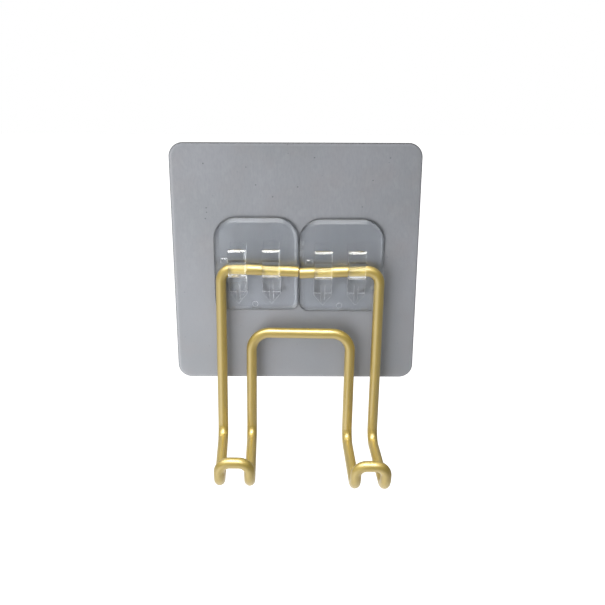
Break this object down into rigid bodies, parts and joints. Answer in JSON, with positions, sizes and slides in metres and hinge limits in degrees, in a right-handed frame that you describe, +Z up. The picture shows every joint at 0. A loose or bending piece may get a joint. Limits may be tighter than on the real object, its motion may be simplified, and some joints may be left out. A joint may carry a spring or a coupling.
{
  "type": "adhesive hook",
  "caption": "Square adhesive wall sheet with clear clip plates whose claws carry a bent gold wire frame that ends in upturned looped hooks.",
  "frame": {"origin": "middle of the adhesive face that sticks to the wall", "axes": "+Z up the wall, +X to the right as seen from the front, +Y into the wall; the hooks reach out along -Y"},
  "size_m": [0.1, 0.0506, 0.1297],
  "materials": {
    "adhesive": "soft tacky acrylic",
    "sheet": "grey film under a smooth soft sheet",
    "clear_plastic": "water-clear moulding",
    "gold_wire": "satin gold coating on steel wire"
  },
  "bodies": {
    "root": {"adhesive_layer": "adhesive", "backing_sheet": "sheet", "left_clip": "clear_plastic", "right_clip": "clear_plastic", "wire_hook": "gold_wire"}
  },
  "joints": []
}
